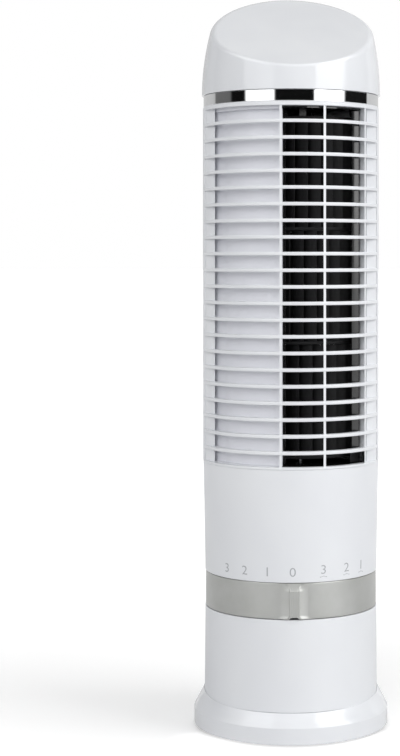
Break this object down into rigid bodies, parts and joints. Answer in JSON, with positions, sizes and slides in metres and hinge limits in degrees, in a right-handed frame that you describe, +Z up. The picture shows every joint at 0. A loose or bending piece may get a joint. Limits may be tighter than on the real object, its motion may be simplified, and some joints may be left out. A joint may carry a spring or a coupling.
{
  "type": "tower fan",
  "caption": "Table-top tower fan: round louvred column on a flared foot, turning silver speed ring, cross-flow wheel inside, oscillating on its pivot.",
  "frame": {"origin": "on the floor plane under the rubber feet, on the column axis", "axes": "+Z up along the column, front of the grille towards -Y, +X to the viewer's right"},
  "size_m": [0.101, 0.101, 0.3834],
  "materials": {
    "gloss_white": "smooth gloss",
    "satin_white": "satin",
    "silver": "satin silver paint",
    "chrome": "mirror plating",
    "black_plastic": "semi-gloss",
    "grey_plastic": "matt",
    "natural_plastic": "natural acetal",
    "steel": "bright zinc",
    "lamination": "stacked sheet edges",
    "copper": "varnished winding",
    "bronze": "sintered",
    "rubber": "matt",
    "lead": "PVC sleeve"
  },
  "bodies": {
    "base": {"base_foot": "gloss_white", "base_plate": "grey_plastic", "rubber_foot_1": "rubber", "rubber_foot_2": "rubber", "rubber_foot_3": "rubber", "rubber_foot_4": "rubber", "cord_inlet": "rubber", "pivot_post": "natural_plastic", "thrust_washer": "natural_plastic", "retaining_ring": "steel", "base_screw_1": "steel", "base_screw_2": "steel", "base_screw_3": "steel"},
    "crank": {"oscillation_crank": "natural_plastic"},
    "ring": {"control_ring": "silver", "ring_carrier": "black_plastic"},
    "switch_shaft": {"switch_pinion": "natural_plastic"},
    "wheel": {"impeller_lower": "black_plastic", "impeller_middle": "black_plastic", "impeller_upper": "black_plastic", "impeller_hub": "rubber", "impeller_shaft": "steel", "motor_rotor": "lamination"},
    "tower": {"top_cap": "gloss_white", "column_shell": "satin_white", "body_shell": "satin_white", "front_grille": "satin_white", "rear_housing": "satin_white", "duct_panel": "satin_white", "chrome_band": "chrome", "turntable": "grey_plastic", "inner_sleeve": "grey_plastic", "switch_plate": "grey_plastic", "rotary_switch": "black_plastic", "duct_floor": "black_plastic", "duct_ceiling": "black_plastic", "scroll_wall": "black_plastic", "vortex_tongue": "black_plastic", "oscillation_motor": "steel", "motor_bracket_upper": "steel", "motor_bracket_lower": "steel", "motor_stator": "lamination", "motor_coil": "copper", "motor_bearing_upper": "bronze", "motor_bearing_lower": "bronze", "wheel_bearing": "bronze", "supply_lead": "lead", "motor_lead": "lead", "turntable_screw_1": "steel", "turntable_screw_2": "steel", "turntable_screw_3": "steel", "oscillation_motor_screw_1": "steel", "motor_screw_1": "steel", "oscillation_motor_screw_2": "steel", "motor_screw_2": "steel", "rear_screw_1": "steel", "rear_screw_2": "steel", "rear_screw_3": "steel", "rear_screw_4": "steel"}
  },
  "joints": [
    {"name": "tower_oscillation", "type": "hinge", "parent": "base", "child": "tower", "pos_m": [0, 0, 0.0168], "axis": [0, 0, 1], "range_deg": [-30, 30]},
    {"name": "ring_turn", "type": "hinge", "parent": "tower", "child": "ring", "pos_m": [0, 0, 0.072], "axis": [0, 0, 1], "range_deg": [-51, 51]},
    {"name": "switch_turn", "type": "hinge", "parent": "tower", "child": "switch_shaft", "pos_m": [0, 0.0224, 0.0715], "axis": [0, 0, 1], "range_deg": [-136, 136]},
    {"name": "wheel_spin", "type": "hinge", "parent": "tower", "child": "wheel", "pos_m": [0.0045, 0.001, 0.2284], "axis": [0, 0, 1], "continuous": true},
    {"name": "crank_spin", "type": "hinge", "parent": "tower", "child": "crank", "pos_m": [0, 0.02, 0.0138], "axis": [0, 0, 1], "continuous": true}
  ],
  "couplings": [
    {"joint": "switch_turn", "follows": "ring_turn", "ratio": 2.6471}
  ]
}
